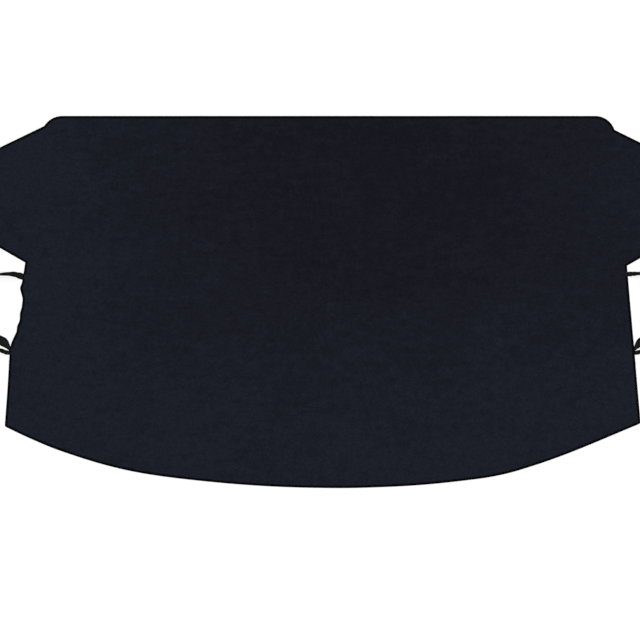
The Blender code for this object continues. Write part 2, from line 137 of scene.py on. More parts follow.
sideCurve = curveThrough(leftBow, step=0.003)
bottomCurve = curveThrough(bottomBow, step=0.01)


def gatherWindow(below):  # 1 between the two anchors, where the side is puckered
    half = band["width"] / 2 + cover["gatherEase"]
    rise = smoothStep((below - upperAnchor[-1] - half) / cover["gatherPitch"])
    return rise * smoothStep((band["lowerAnchor"] - half - below) / cover["gatherPitch"])


def gatherPhase(below):  # the puckers' turns, a little uneven
    turns = (below - upperAnchor[-1]) / cover["gatherPitch"]
    return 2 * math.pi * (turns + cover["gatherUneven"] * np.sin(cover["gatherDrift"] * turns))


def sideRim(below, side):
    # x = side line + bow + puckers on the left, y straight down from the flap's lower root
    y = flapBottomY - below
    shift = 0.0 * below
    if side < 0:
        shift = np.interp(below, sideCurve[:, 0], sideCurve[:, 1])
        shift = shift + cover["gatherInset"] / 2 * np.sin(gatherPhase(below)) * gatherWindow(below)
    return np.stack((side * (sideX(y) + shift), y + 0.0 * below), axis=-1)


def sideLift(below, side):  # over the sewn ends, and at the puckers on the left
    half = band["width"] / 2 + cover["anchorEase"]
    fade = cover["fade"] / 2
    middle = (band["lowerAnchor"] + tieAnchor) / 2
    halfPair = (tieAnchor - band["lowerAnchor"]) / 2 + half
    upper = stack * smoothStep((half + fade - abs(below - upperAnchor[side])) / fade)
    lower = 2 * stack * smoothStep((halfPair + fade - abs(below - middle)) / fade)
    lift = np.maximum(upper, lower)
    if side < 0:
        pucker = 0.5 - 0.5 * np.cos(gatherPhase(below))
        lift = lift + cover["gatherHeight"] * pucker * gatherWindow(below)
    return lift


def straight(start, end, step):  # points from start to just short of end
    start, end = np.asarray(start, float), np.asarray(end, float)
    count = max(1, int(round(np.linalg.norm(end - start) / step)))
    return start + (end - start) * (np.arange(count) / count)[:, None]


def roundCorner(before, corner, after, radius, count):
    # an arc: middle + (sin((1 - s) sweep) start + sin(s sweep) end) / sin(sweep), s from 0 to 1
    before, corner, after = (np.asarray(p, float) for p in (before, corner, after))
    back, ahead = unit(before - corner), unit(after - corner)
    half = math.acos(np.clip(back @ ahead, -1, 1)) / 2
    middle = corner + unit(back + ahead) * radius / math.sin(half)
    start = corner + back * radius / math.tan(half) - middle
    end = corner + ahead * radius / math.tan(half) - middle
    sweep = math.pi - 2 * half
    share = np.linspace(0, 1, count)[:, None]
    return middle + (np.sin((1 - share) * sweep) * start + np.sin(share * sweep) * end) / math.sin(sweep)


rimCount = dict(shoulder=22, flapCorner=14, corner=7)      # points in each arc of the rim


def halfRim(side, step):
    # one half of the rim from the top middle to the bottom middle, and its lift above the floor.
    # The shoulder's arc ends where it meets the flap's upper edge, a line of slope -fall.
    radius = cover["shoulderRadius"]
    arcY = topY - radius
    arcX = sideX(arcY) - radius * math.hypot(1, sideSlope)
    flapTop = flapTopY - side * cover["flapSlip"]
    rootX, tipX = sideX(flapTop), cover["flapSpan"] / 2
    fall = cover["flapTipDrop"] / (tipX - rootX)
    height = flapTop + fall * (rootX - arcX) - arcY
    square = 1 + fall * fall
    notchX = (fall * height + math.sqrt(square * radius ** 2 - height ** 2)) / square
    notch = np.array((arcX + notchX, arcY + height - fall * notchX))
    angle = np.linspace(math.pi / 2, math.atan2(notch[1] - arcY, notchX), rimCount["shoulder"])
    shoulder = np.stack((arcX + radius * np.cos(angle), arcY + radius * np.sin(angle)), axis=1)
    root = sideRim(np.array(side * cover["flapSlip"]), 1)
    tipTop = (tipX, flapTop - cover["flapTipDrop"])
    tipLow = (tipX, tipTop[1] - cover["flapTipHeight"])
    topArc = roundCorner(notch, tipTop, tipLow, cover["flapCornerRadius"], rimCount["flapCorner"])
    lowArc = roundCorner(tipTop, tipLow, root, cover["flapCornerRadius"], rimCount["flapCorner"])
    flap = np.vstack((straight((0, topY), (arcX, topY), step), shoulder,
                      straight(notch, topArc[0], step)[1:], topArc,
                      straight(topArc[-1], lowArc[0], step)[1:], lowArc,
                      straight(lowArc[-1], root, step)[1:]))
    flap[:, 0] *= side
    length = flapBottomY - cornerY[side]
    below = np.linspace(side * cover["flapSlip"], length - 2 * cover["cornerRadius"], int(length / step))
    edge = sideRim(below, side)
    half = sideX(cornerY[side])
    across = side * np.linspace(0.985, 0, int(half / step)) * half     # from just inside the corner
    bow = np.stack((across, bowY(across)), axis=1)
    corner = (side * half, cornerY[side])
    cornerArc = roundCorner(edge[-1], corner, bow[0], cover["cornerRadius"], rimCount["corner"])
    points = np.vstack((flap, edge, cornerArc, bow))
    lift = np.zeros(len(points))
    lift[len(flap):len(flap) + len(edge)] = sideLift(below, side)
    away = np.linalg.norm(flap - edge[0], axis=1)      # and it dies away along the flap's lower edge
    lift[:len(flap)] = lift[len(flap)] * (1 - smoothStep(away / cover["fade"]))
    return points, lift


def bowY(x):  # lowest point + drop on that side * share read from the bottom curve
    corner = np.where(x < 0, cornerY[-1], cornerY[1])
    share = np.interp(x / sideX(corner), bottomCurve[:, 0], bottomCurve[:, 1])
    return -topY + (corner + topY) * share


# The rim's own slow waves: how often each goes round, in whole numbers so that it closes, and its phase.
rimWaves = ((9, 0.4), (14, 2.1), (23, 4.4), (31, 1.0), (38, 5.2))


def wholeRim(step):
    # left half, then the right half backwards; lift + edge wave * (0.5 + 0.42 * sum of waves) ^ 1.5
    left, leftLift = halfRim(-1, step)
    right, rightLift = halfRim(1, step)
    points = np.vstack((left, right[-2:0:-1]))
    lift = np.concatenate((leftLift, rightLift[-2:0:-1]))
    steps = np.linalg.norm(np.roll(points, -1, axis=0) - points, axis=1)
    along = np.concatenate(([0.0], np.cumsum(steps)))
    turn = 2 * math.pi * along[:-1] / along[-1]
    wave = sum(np.sin(turn * count + phase) / (1 + 0.04 * count) for count, phase in rimWaves)
    lift = lift + cover["edgeWave"] * np.clip(0.5 + 0.42 * wave, 0, None) ** 1.5
    return points, lift, along


def inwardOf(rim):  # each point's way inwards, longer at a corner so that an offset keeps its width
    ahead = unit(np.roll(rim, -1, axis=0) - rim)
    normal = np.stack((-ahead[:, 1], ahead[:, 0]), axis=1)
    before = np.roll(normal, 1, axis=0)
    return (normal + before) / (1 + (normal * before).sum(axis=1, keepdims=True))


rimLine, rimLift, _ = wholeRim(tape["step"])    # the same points as the tape's
blockSize = 4000


def nearRim(x, y):
    # distance to the rim and its lift at the nearest point, in blocks to save memory
    places = np.stack((x, y), axis=1)
    ahead = np.roll(rimLine, -1, axis=0) - rimLine
    square = (ahead ** 2).sum(axis=1)
    liftAhead = np.roll(rimLift, -1)
    depth, lift = np.empty(len(places)), np.empty(len(places))
    for start in range(0, len(places), blockSize):
        block = slice(start, start + blockSize)
        away = places[block, None] - rimLine
        share = np.clip((away * ahead).sum(axis=2) / square, 0, 1)
        distance = ((away - share[..., None] * ahead) ** 2).sum(axis=2)
        best = distance.argmin(axis=1)
        row = np.arange(len(best))
        part = share[row, best]
        depth[block] = np.sqrt(distance[row, best])
        lift[block] = rimLift[best] * (1 - part) + liftAhead[best] * part
    return depth, lift


def drawWaves(seed, count, shortest, longest, spread):  # length, way and phase of each plane wave
    draw = np.random.default_rng(seed)
    length = draw.uniform(shortest, longest, count)
    way = math.pi / 2 + draw.normal(0, spread, count)
    return list(zip(length, way, draw.uniform(0, 2 * math.pi, count)))


rippleWaves = drawWaves(seed=12, count=16, shortest=0.11, longest=0.46, spread=0.62)
wrinkleWaves = drawWaves(seed=31, count=18, shortest=0.030, longest=0.085, spread=0.85)
patchWaves = drawWaves(seed=7, count=5, shortest=0.22, longest=0.50, spread=1.20)
waveMix = dict(rippleSum=0.75, rippleSoft=0.35, wrinkleRise=0.15, wrinkleSoft=0.02, patchSum=0.9)


def sumWaves(waves, x, y):  # sum of length * sin(2 pi / length * (x cos way + y sin way) + phase)
    return sum(np.sin(2 * math.pi / length * (x * math.cos(way) + y * math.sin(way)) + phase) * length
               for length, way, phase in waves)


def aboveFloor(wave, soft):  # 0 where the wave is low, the wave itself where it is high, soft between
    return 0.5 * (wave + np.sqrt(wave * wave + soft))


def ripples(x, y):  # long low waves, mostly lying across the cloth, plus short creases in patches
    long = aboveFloor(sumWaves(rippleWaves, x, y) / waveMix["rippleSum"], waveMix["rippleSoft"])
    short = aboveFloor(sumWaves(wrinkleWaves, x, y) + waveMix["wrinkleRise"], waveMix["wrinkleSoft"])
    patch = smoothStep(0.5 + sumWaves(patchWaves, x, y) / waveMix["patchSum"])
    return cover["rippleHeight"] * long + cover["wrinkleSlope"] * short * patch


def clothHeight(x, y):
    # underside of the sheet: over the tape at its edge, over the sewn ends, low waves elsewhere
    depth, lift = nearRim(x, y)
    overTape = hemInset * (1 - smoothStep((depth - hemWidth) / cover["sagRun"]))
    inner = smoothStep((depth - hemWidth) / cover["waveRun"])
    lifted = lift * (1 - smoothStep((depth - levelRun) / cover["fade"]))
    return overTape + lifted + ripples(x, y) * inner


def layOut(points):  # x + shear * (y - height of the flap tips' middle)
    points = np.array(points, dtype=float)
    points[..., 0] += cover["layShear"] * (points[..., 1] - flapTopY + cover["flapTipDrop"]
                                            + cover["flapTipHeight"] / 2)
    return points


def makeObject(name, points, faces, material, corners=None):
    # points (n, 3), faces as index arrays of one width each, corners their UVs in metres
    mesh = bpy.data.meshes.new(name)
    faceList = [face for group in faces for face in group.tolist()]
    mesh.from_pydata(layOut(points).reshape(-1, 3).tolist(), [], faceList)
    if corners is not None:
        uv = mesh.uv_layers.new(name="cloth")
        uv.data.foreach_set("uv", np.concatenate([c.reshape(-1) for c in corners]).astype(np.float32))
    mesh.polygons.foreach_set("use_smooth", [True] * len(mesh.polygons))
    mesh.materials.append(material)
    mesh.update()
    obj = bpy.data.objects.new(name, mesh)
    bpy.context.collection.objects.link(obj)
    return obj


def gridFaces(rows, columns, closedRows=False, closedColumns=False):
    # quads of a rows x columns grid, and the unwrapped grid index of each corner
    rowStarts, columnStarts = np.arange(rows - (not closedRows)), np.arange(columns - (not closedColumns))
    i, j = (place.ravel() for place in np.meshgrid(rowStarts, columnStarts, indexing="ij"))
    grid = np.array(((i, j), (i, j + 1), (i + 1, j + 1), (i + 1, j)))
    index = (grid[:, 0] % rows) * columns + grid[:, 1] % columns
    return index.T, grid.transpose(2, 0, 1)


# A socket in a material's node tree; arithmetic on it adds Math nodes.
class Wire:
    def __init__(self, shade, socket):
        self.shade, self.socket = shade, socket

    def maths(self, operation, *values):
        return self.shade.node("ShaderNodeMath", {"operation": operation}, values)[0]

    def __add__(self, other):
        return self.maths("ADD", self, other)

    def __radd__(self, other):
        return self.maths("ADD", other, self)

    def __sub__(self, other):
        return self.maths("SUBTRACT", self, other)

    def __rsub__(self, other):
        return self.maths("SUBTRACT", other, self)

    def __mul__(self, other):
        return self.maths("MULTIPLY", self, other)

    def __rmul__(self, other):
        return self.maths("MULTIPLY", other, self)

    def sin(self):
        return self.maths("SINE", self)

    def cos(self):
        return self.maths("COSINE", self)

    def size(self):
        return self.maths("ABSOLUTE", self)

    def above(self, other):  # 1 where it is greater, else 0
        return self.maths("GREATER_THAN", self, other)

    def orLarger(self, other):
        return self.maths("MAXIMUM", self, other)


# The node tree of a material or of the world, with its shader.
class Shade:
    def __init__(self, owner, shader="Principled BSDF"):
        owner.use_nodes = True
        self.owner, self.tree = owner, owner.node_tree
        self.shader = self.tree.nodes[shader]

    def node(self, kind, settings=None, values=()):
        node = self.tree.nodes.new(kind)
        for key, value in (settings or {}).items():
            setattr(node, key, value)
        pairs = values.items() if isinstance(values, dict) else enumerate(values)
        for key, value in pairs:
            self.feed(node.inputs[key], value)
        return [Wire(self, socket) for socket in node.outputs]

    def feed(self, target, value):
        if isinstance(value, Wire):
            self.tree.links.new(value.socket, target)
        else:
            target.default_value = value

    def place(self):  # Object coordinates, split into metres along X, Y, Z
        point = self.node("ShaderNodeTexCoord")[3]
        return point, self.node("ShaderNodeSeparateXYZ", values=[point])

    def clothPlace(self):  # the piece's own UV, in metres along and across
        point = self.node("ShaderNodeUVMap", {"uv_map": "cloth"})[0]
        return point, self.node("ShaderNodeSeparateXYZ", values=[point])

    def noise(self, point, scale, detail, rough, stretch=(1, 1, 1)):
        point = self.node("ShaderNodeMapping", values={"Vector": point, "Scale": stretch})[0]
        values = {"Vector": point, "Scale": scale, "Detail": detail, "Roughness": rough}
        return self.node("ShaderNodeTexNoise", values=values)[0]

    def blend(self, share, low, high):  # a colour between two colours
        # the Mix node's sockets for colours are its inputs 6 and 7 and its output 2
        low, high = (colour if isinstance(colour, Wire) else (*colour, 1) for colour in (low, high))
        return self.node("ShaderNodeMix", {"data_type": "RGBA"}, {0: share, 6: low, 7: high})[2]

    def tint(self, colour, strength):  # a colour made darker or lighter
        values = {"Vector": colour, "Scale": strength}
        return self.node("ShaderNodeVectorMath", {"operation": "SCALE"}, values)[0]

    def limit(self, value):  # keeps a value between 0 and 1
        return self.node("ShaderNodeClamp", values=[value])[0]

    def ramp(self, value, low, high):  # rises smoothly from 0 to 1 as value goes from low to high
        values = {"Value": value, "From Min": low, "From Max": high}
        return self.node("ShaderNodeMapRange", {"interpolation_type": "SMOOTHSTEP"}, values)[0]

    def bump(self, height, distance, strength):
        values = {"Height": height, "Distance": distance, "Strength": strength}
        return self.node("ShaderNodeBump", values=values)[0]

    def finish(self, values):  # values or wires for the shader's own sockets
        for key, value in values.items():
            self.feed(self.shader.inputs[key], value)
        return self.owner


# Every noise in the looks below: scale, detail, roughness and, where it is drawn out, its stretch.
clothLook = dict(
    dark=(0.0065, 0.0063, 0.0119), light=(0.0089, 0.0114, 0.0192),
    threadPitch=0.0011, threadDrift=5.0,                # the threads don't run dead straight
    drift=(60.0, 2.0, 0.5), slub=(1.0, 2.0, 0.6, (95, 430, 95)),
    patches=(4.2, 3.0, 0.6, (0.8, 1.4, 1)), streaks=(1.0, 3.0, 0.7, (15, 64, 1)),
    mottle=(48.0, 3.0, 0.8), grain=(185.0, 1.0, 0.4),
    # painted light: the cloth's colour is lighter towards the sides and towards the bottom edge, as light
    # falls on it, and darkest in the upper middle
    shadeMiddleX=0.12, sideLightBase=0.05, sideLightRise=1.45,        # lighter towards the sides
    lowLightStart=0.22, lowLightEnd=-0.38, lowLightShare=0.9,          # and towards the bottom edge, between these heights
    patchTone=1.1, streakTone=1.4, mottleTone=1.1,      # how much each moves the colour
    grainShade=0.80, slubShade=0.34, mottleShade=0.42,  # and how bright it is
    weaveShade=0.22, weaveMean=0.6,
    bumpHeight=0.00016, bumpStrength=0.55)


def makeCloth():
    look = clothLook
    shade = Shade(bpy.data.materials.new("navyCloth"))
    point, (x, y, _) = shade.place()
    turn = math.pi / look["threadPitch"]
    drift = look["threadDrift"] * shade.noise(point, *look["drift"])
    u, v = x * turn + drift, y * turn + drift
    warp, weft = u.sin().size(), v.sin().size()
    over = (u.cos() * v.cos()).above(0.0)
    weave = warp * over + weft * (1 - over)
    slub = shade.noise(point, *look["slub"])       # thick and thin threads along X
    patches = shade.noise(point, *look["patches"])
    streaks = shade.noise(point, *look["streaks"])
    mottle = shade.noise(point, *look["mottle"])
    grain = shade.noise(point, *look["grain"])
    # painted light: lighter towards the sides and towards the bottom edge, the way light falls on the cloth
    away = x - look["shadeMiddleX"]
    sides = shade.limit(look["sideLightBase"] + look["sideLightRise"] * away * away)
    low = shade.limit(look["lowLightShare"] * shade.ramp(y, look["lowLightStart"], look["lowLightEnd"]))
    tone = sides + low - sides * low
    tone = tone + look["patchTone"] * (patches - 0.5) + look["streakTone"] * (streaks - 0.5)
    tone = tone + look["mottleTone"] * (mottle - 0.5)
    worn = 1.0 + look["grainShade"] * (grain - 0.5) + look["slubShade"] * (slub - 0.5)
    worn = worn + look["mottleShade"] * (mottle - 0.5)
    worn = worn + look["weaveShade"] * (weave - look["weaveMean"])
    colour = shade.tint(shade.blend(tone, look["dark"], look["light"]), worn)
    height = weave * 0.6 + slub * 0.7 + grain * 0.3
    return shade.finish({
        "Base Color": colour, "Roughness": 0.62 + 0.2 * slub, "Specular IOR Level": 0.055,
        "Sheen Weight": 0.090, "Sheen Roughness": 0.35, "Sheen Tint": (0.50, 0.60, 0.90, 1),
        "Normal": shade.bump(height, look["bumpHeight"], look["bumpStrength"])})


tapeLook = dict(dark=(0.0004, 0.0004, 0.0005), light=(0.0018, 0.0018, 0.0022),
                fibre=(900.0, 2.0, 0.6), worn=(22.0, 3.0, 0.6),
                ribPitch=0.0009, bumpHeight=0.00012, bumpStrength=0.7)


def makeTape():
    look = tapeLook
    shade = Shade(bpy.data.materials.new("blackTape"))
    point, (along, _, _) = shade.clothPlace()
    rib = (along * (2 * math.pi / look["ribPitch"])).sin() * 0.5 + 0.5      # ribs across the tape
    fibre = shade.noise(point, *look["fibre"])
    worn = shade.noise(point, *look["worn"])
    colour = shade.blend(0.25 * rib + 0.5 * worn, look["dark"], look["light"])
    return shade.finish({
        "Base Color": colour, "Roughness": 0.62 + 0.2 * fibre, "Specular IOR Level": 0.01,
        "Normal": shade.bump(rib * 0.7 + fibre * 0.5, look["bumpHeight"], look["bumpStrength"])})


elasticLook = dict(dark=(0.0050, 0.0052, 0.0052), light=(0.0158, 0.0165, 0.0166),
                   # painted shade: the colour is near black along both edges of the band, which darkens it
                   # most where it stands on edge
                   edgeShade=(0.0006, 0.0006, 0.0007),
                   edgeShadeStart=0.58, edgeShadeFull=0.80,     # shares of the half width
                   fibre=(1400.0, 2.0, 0.6), worn=(1.0, 3.0, 0.6, (60, 420, 1)),
                   knitPitch=0.0011, bumpHeight=0.00016, bumpStrength=0.7)


def makeElastic():
    look = elasticLook
    shade = Shade(bpy.data.materials.new("blackElastic"))
    point, (along, across, _) = shade.clothPlace()
    half = band["width"] / 2
    knit = (along * (2 * math.pi / look["knitPitch"])).sin()
    rib = (across * (2 * math.pi * band["ribs"] / band["width"])).cos()
    loops = (knit * (0.6 + 0.4 * rib)) * 0.5 + 0.5
    fibre = shade.noise(point, *look["fibre"])
    # painted shade: near black along both edges of the band
    edge = shade.ramp(across.size(), look["edgeShadeStart"] * half, look["edgeShadeFull"] * half)
    worn = shade.noise(point, *look["worn"])
    tone = 0.25 * loops + 0.30 * fibre + 0.15 * rib + 0.45 + 1.6 * (worn - 0.5)
    colour = shade.blend(edge, shade.blend(tone, look["dark"], look["light"]), look["edgeShade"])
    return shade.finish({
        "Base Color": colour, "Roughness": 0.68 + 0.16 * fibre, "Specular IOR Level": 0.01,
        "Normal": shade.bump(loops * 0.8 + fibre * 0.4, look["bumpHeight"], look["bumpStrength"])})


threadLook = dict(dark=(0.0055, 0.0058, 0.0075), light=(0.0140, 0.0148, 0.0190),
                  fibre=(2200.0, 2.0, 0.6), bumpHeight=0.00008, bumpStrength=0.6)


def makeThread():
    look = threadLook
    shade = Shade(bpy.data.materials.new("blackThread"))
    point, _ = shade.place()
    fibre = shade.noise(point, *look["fibre"])
    return shade.finish({
        "Base Color": shade.blend(fibre, look["dark"], look["light"]),
        "Roughness": 0.5 + 0.15 * fibre, "Specular IOR Level": 0.2, "Sheen Weight": 0.02,
        "Normal": shade.bump(fibre, look["bumpHeight"], look["bumpStrength"])})


# Rows and columns of the sheet: close together beside the puckers, wider apart below them.
sheetGrid = dict(flapRows=85, gatherRows=73, lowerRows=34, columns=232,
                 gatherShare=0.63,      # the close rows end at this share of the way down
                 crowding=0.62,         # the columns stand closer at the sides
                 edgeStep=0.003)


def rawEdge(side, heights):  # x of the sheet's raw edge at these heights, inside the rim
    points, _ = halfRim(side, sheetGrid["edgeStep"])
    points = points[points[:, 1] < topY - 1e-6]
    points = points[:np.argmax(points[:, 1] <= cornerY[side]) + 1]
    ahead = unit(np.gradient(points, axis=0))
    points = points + np.stack((-ahead[:, 1], ahead[:, 0]), axis=1) * (-side) * cover["inset"]
    return np.interp(-heights, -points[:, 1], points[:, 0])


def makeSheet(material):
    # rows run flat across from the top edge to the flaps' lower roots, then bend down to the bottom bow:
    # x(u, v) = left(v) + (right(v) - left(v)) * u; y(u, v) = first * (1 - v) + v * bow(x)
    first = flapBottomY - cover["flapSlip"]
    upper = np.linspace(topY - cover["inset"], first, sheetGrid["flapRows"])
    beside = np.linspace(0, sheetGrid["gatherShare"], sheetGrid["gatherRows"])[1:]
    low = np.concatenate((beside, np.linspace(sheetGrid["gatherShare"], 1, sheetGrid["lowerRows"])[1:]))
    left, right = (rawEdge(side, np.concatenate((upper, first + (cornerY[side] - first) * low)))[:, None]
                   for side in (-1, 1))
    even = np.linspace(-1, 1, sheetGrid["columns"])
    crowded = np.sin(math.pi / 2 * even)
    share = ((1 - sheetGrid["crowding"]) * even + sheetGrid["crowding"] * crowded + 1) / 2
    x = left + (right - left) * share
    bottom = bowY(x)
    slope = np.gradient(bottom[-1], x[-1])
    bottom = bottom + cover["inset"] * np.sqrt(1 + slope ** 2)
    bend = np.concatenate((np.zeros(len(upper)), low))[:, None]
    flat = np.concatenate((upper, np.full(len(low), first)))[:, None]
    y = flat * (1 - bend) + bottom * bend
    rows, columns = x.shape
    lowLayer = np.stack((x.ravel(), y.ravel(), clothHeight(x.ravel(), y.ravel())), axis=1)
    highLayer = lowLayer + up * cover["thickness"]
    faces, _ = gridFaces(rows, columns)
    count = rows * columns
    border = np.concatenate((np.arange(columns), np.arange(1, rows) * columns + columns - 1,
                             count - 2 - np.arange(columns - 1), np.arange(rows - 2, 0, -1) * columns))
    after = np.roll(border, -1)
    wall = np.stack((border, border + count, after + count, after), axis=1)
    return makeObject("coverSheet", np.vstack((lowLayer, highLayer)),
                      [faces, faces[:, ::-1] + count, wall], material)


def makeBinding(material):
    # C-shaped section carried along the rim: its outside from edge to edge round the fold, then its inside,
    # each point given as its way inwards from the rim and its height
    rim, lift, along = wholeRim(tape["step"])
    inward = inwardOf(rim)
    width, wall, half = tape["width"], tape["thickness"], tapeHeight / 2
    turn = np.linspace(-math.pi / 2, math.pi / 2, tape["foldCount"])
    fold = half * tape["foldReach"]
    outer = np.vstack(((width, 0.0), (width * 0.82, 0.0), (width * 0.55, 0.0),
                       np.stack((fold - fold * np.cos(turn), half + half * np.sin(turn)), axis=1),
                       (width * 0.55, 2 * half), (width * 0.82, 2 * half), (width, 2 * half - wall * 0.15)))
    corner = wall + tape["innerRound"]
    inner = np.array(((width + wall * 0.1, 2 * half - wall * 0.55), (width * 0.98, 2 * half - wall),
                      (corner, 2 * half - wall), (wall, half), (corner, wall),
                      (width * 0.98, wall), (width + wall * 0.1, wall * 0.55)))
    section = np.vstack((outer, inner))
    place = 2 * math.pi * along[:-1]
    sway = tape["sway"] * np.sin(place / tape["swayPitch"]) * np.sin(place / tape["swayRun"])
    inset = section[:, 0] + sway[:, None] * (section[:, 0] / width) ** 2
    plan = rim[:, None] + inward[:, None] * inset[..., None]
    height = lift[:, None] + section[:, 1]
    points = np.concatenate((plan, height[..., None]), axis=2)
    rows, columns = points.shape[:2]
    faces, grid = gridFaces(rows, columns, True, True)
    sides = np.linalg.norm(np.diff(np.vstack((section, section[:1])), axis=0), axis=1)
    across = np.concatenate(([0.0], np.cumsum(sides)))
    corners = np.stack((along[grid[..., 0]], across[grid[..., 1]]), axis=2)
    # the section runs clockwise, so each face is turned round to look outwards
    return makeObject("edgeBinding", points.reshape(-1, 3), [faces[:, ::-1]], material,
                      [corners[:, ::-1]])


stitch = dict(rings=6, sides=6,
              sunk=0.5,         # share of its radius that lies in the cloth at its ends
              endShare=0.5)     # its thickness there


def makeStitches(name, starts, ends, sizes, material):
    # each stitch is a low arch: centre p(t) = start + (end - start) t + rise sin(pi t), thinner at its ends
    rings, sides, radius = stitch["rings"], stitch["sides"], sizes["radius"]
    t = np.linspace(0, 1, rings)
    line = unit(ends - starts)
    across = unit(np.stack((-line[:, 1], line[:, 0], 0 * line[:, 0]), axis=1))
    normal = np.cross(line, across)
    arch = np.sin(math.pi * t)
    centre = (starts[:, None] + (ends - starts)[:, None] * t[:, None]
              + normal[:, None] * (sizes["rise"] * arch - radius * stitch["sunk"])[:, None])
    thick = radius * (stitch["endShare"] + (1 - stitch["endShare"]) * arch ** 0.5)
    angle = 2 * math.pi * np.arange(sides) / sides
    around = across[:, None] * np.cos(angle)[:, None] + normal[:, None] * np.sin(angle)[:, None]
    points = centre[:, :, None] + around[:, None] * thick[:, None, None]
    faces, _ = gridFaces(rings, sides, False, True)
    shift = (np.arange(len(starts)) * rings * sides)[:, None]
    quads = (faces + shift[..., None]).reshape(-1, 4)
    cap = np.arange(sides)
    caps = np.concatenate((cap[::-1] + shift, cap + (rings - 1) * sides + shift))
    return makeObject(name, points.reshape(-1, 3), [quads, caps], material)


seam = dict(pitch=0.0040, length=0.0031, radius=0.00022, rise=0.00018, inset=0.0040, above=0.00002)


def makeSeam(material):  # the row of stitches that holds the tape, all the way round
    rim, lift, along = wholeRim(tape["step"])
    line = rim + inwardOf(rim) * seam["inset"]
    line = np.column_stack((line, lift + tapeHeight + seam["above"]))
    line = np.vstack((line, line[:1]))
    count = int(along[-1] / seam["pitch"])
    start = np.arange(count) / count * along[-1]
    starts, ends = (np.stack([np.interp(where, along, values) for values in line.T], axis=1)
                    for where in (start, start + seam["length"]))
    return makeStitches("edgeSeam", starts, ends, seam, material)


def bandPath(side, kind):  # knots of a strap's route on the floor, from its sewn end in under the sheet
    outward = np.array((side, 0.0))
    upper, lower, tie = (sideRim(np.array(below), side)
                         for below in (upperAnchor[side], band["lowerAnchor"], tieAnchor))

    def sewn(rimPoint, free):
        way = unit(free - rimPoint)
        return [rimPoint - way * band["tab"], rimPoint, rimPoint + way * band["flatRun"]]
    if kind == "mirror":
        rise = 1.0 if side < 0 else band["rightRise"]
        loop = [upper + (lower - upper) * max(down, down * rise) + outward * out * band["loopReach"]
                for out, down in mirrorRoute]
        return sewn(upper, loop[0]) + loop + sewn(lower, loop[-1])[::-1]
    free = [tie + np.array((side * out, -down)) for out, down in tieRoute]
    return sewn(tie, free[0]) + free


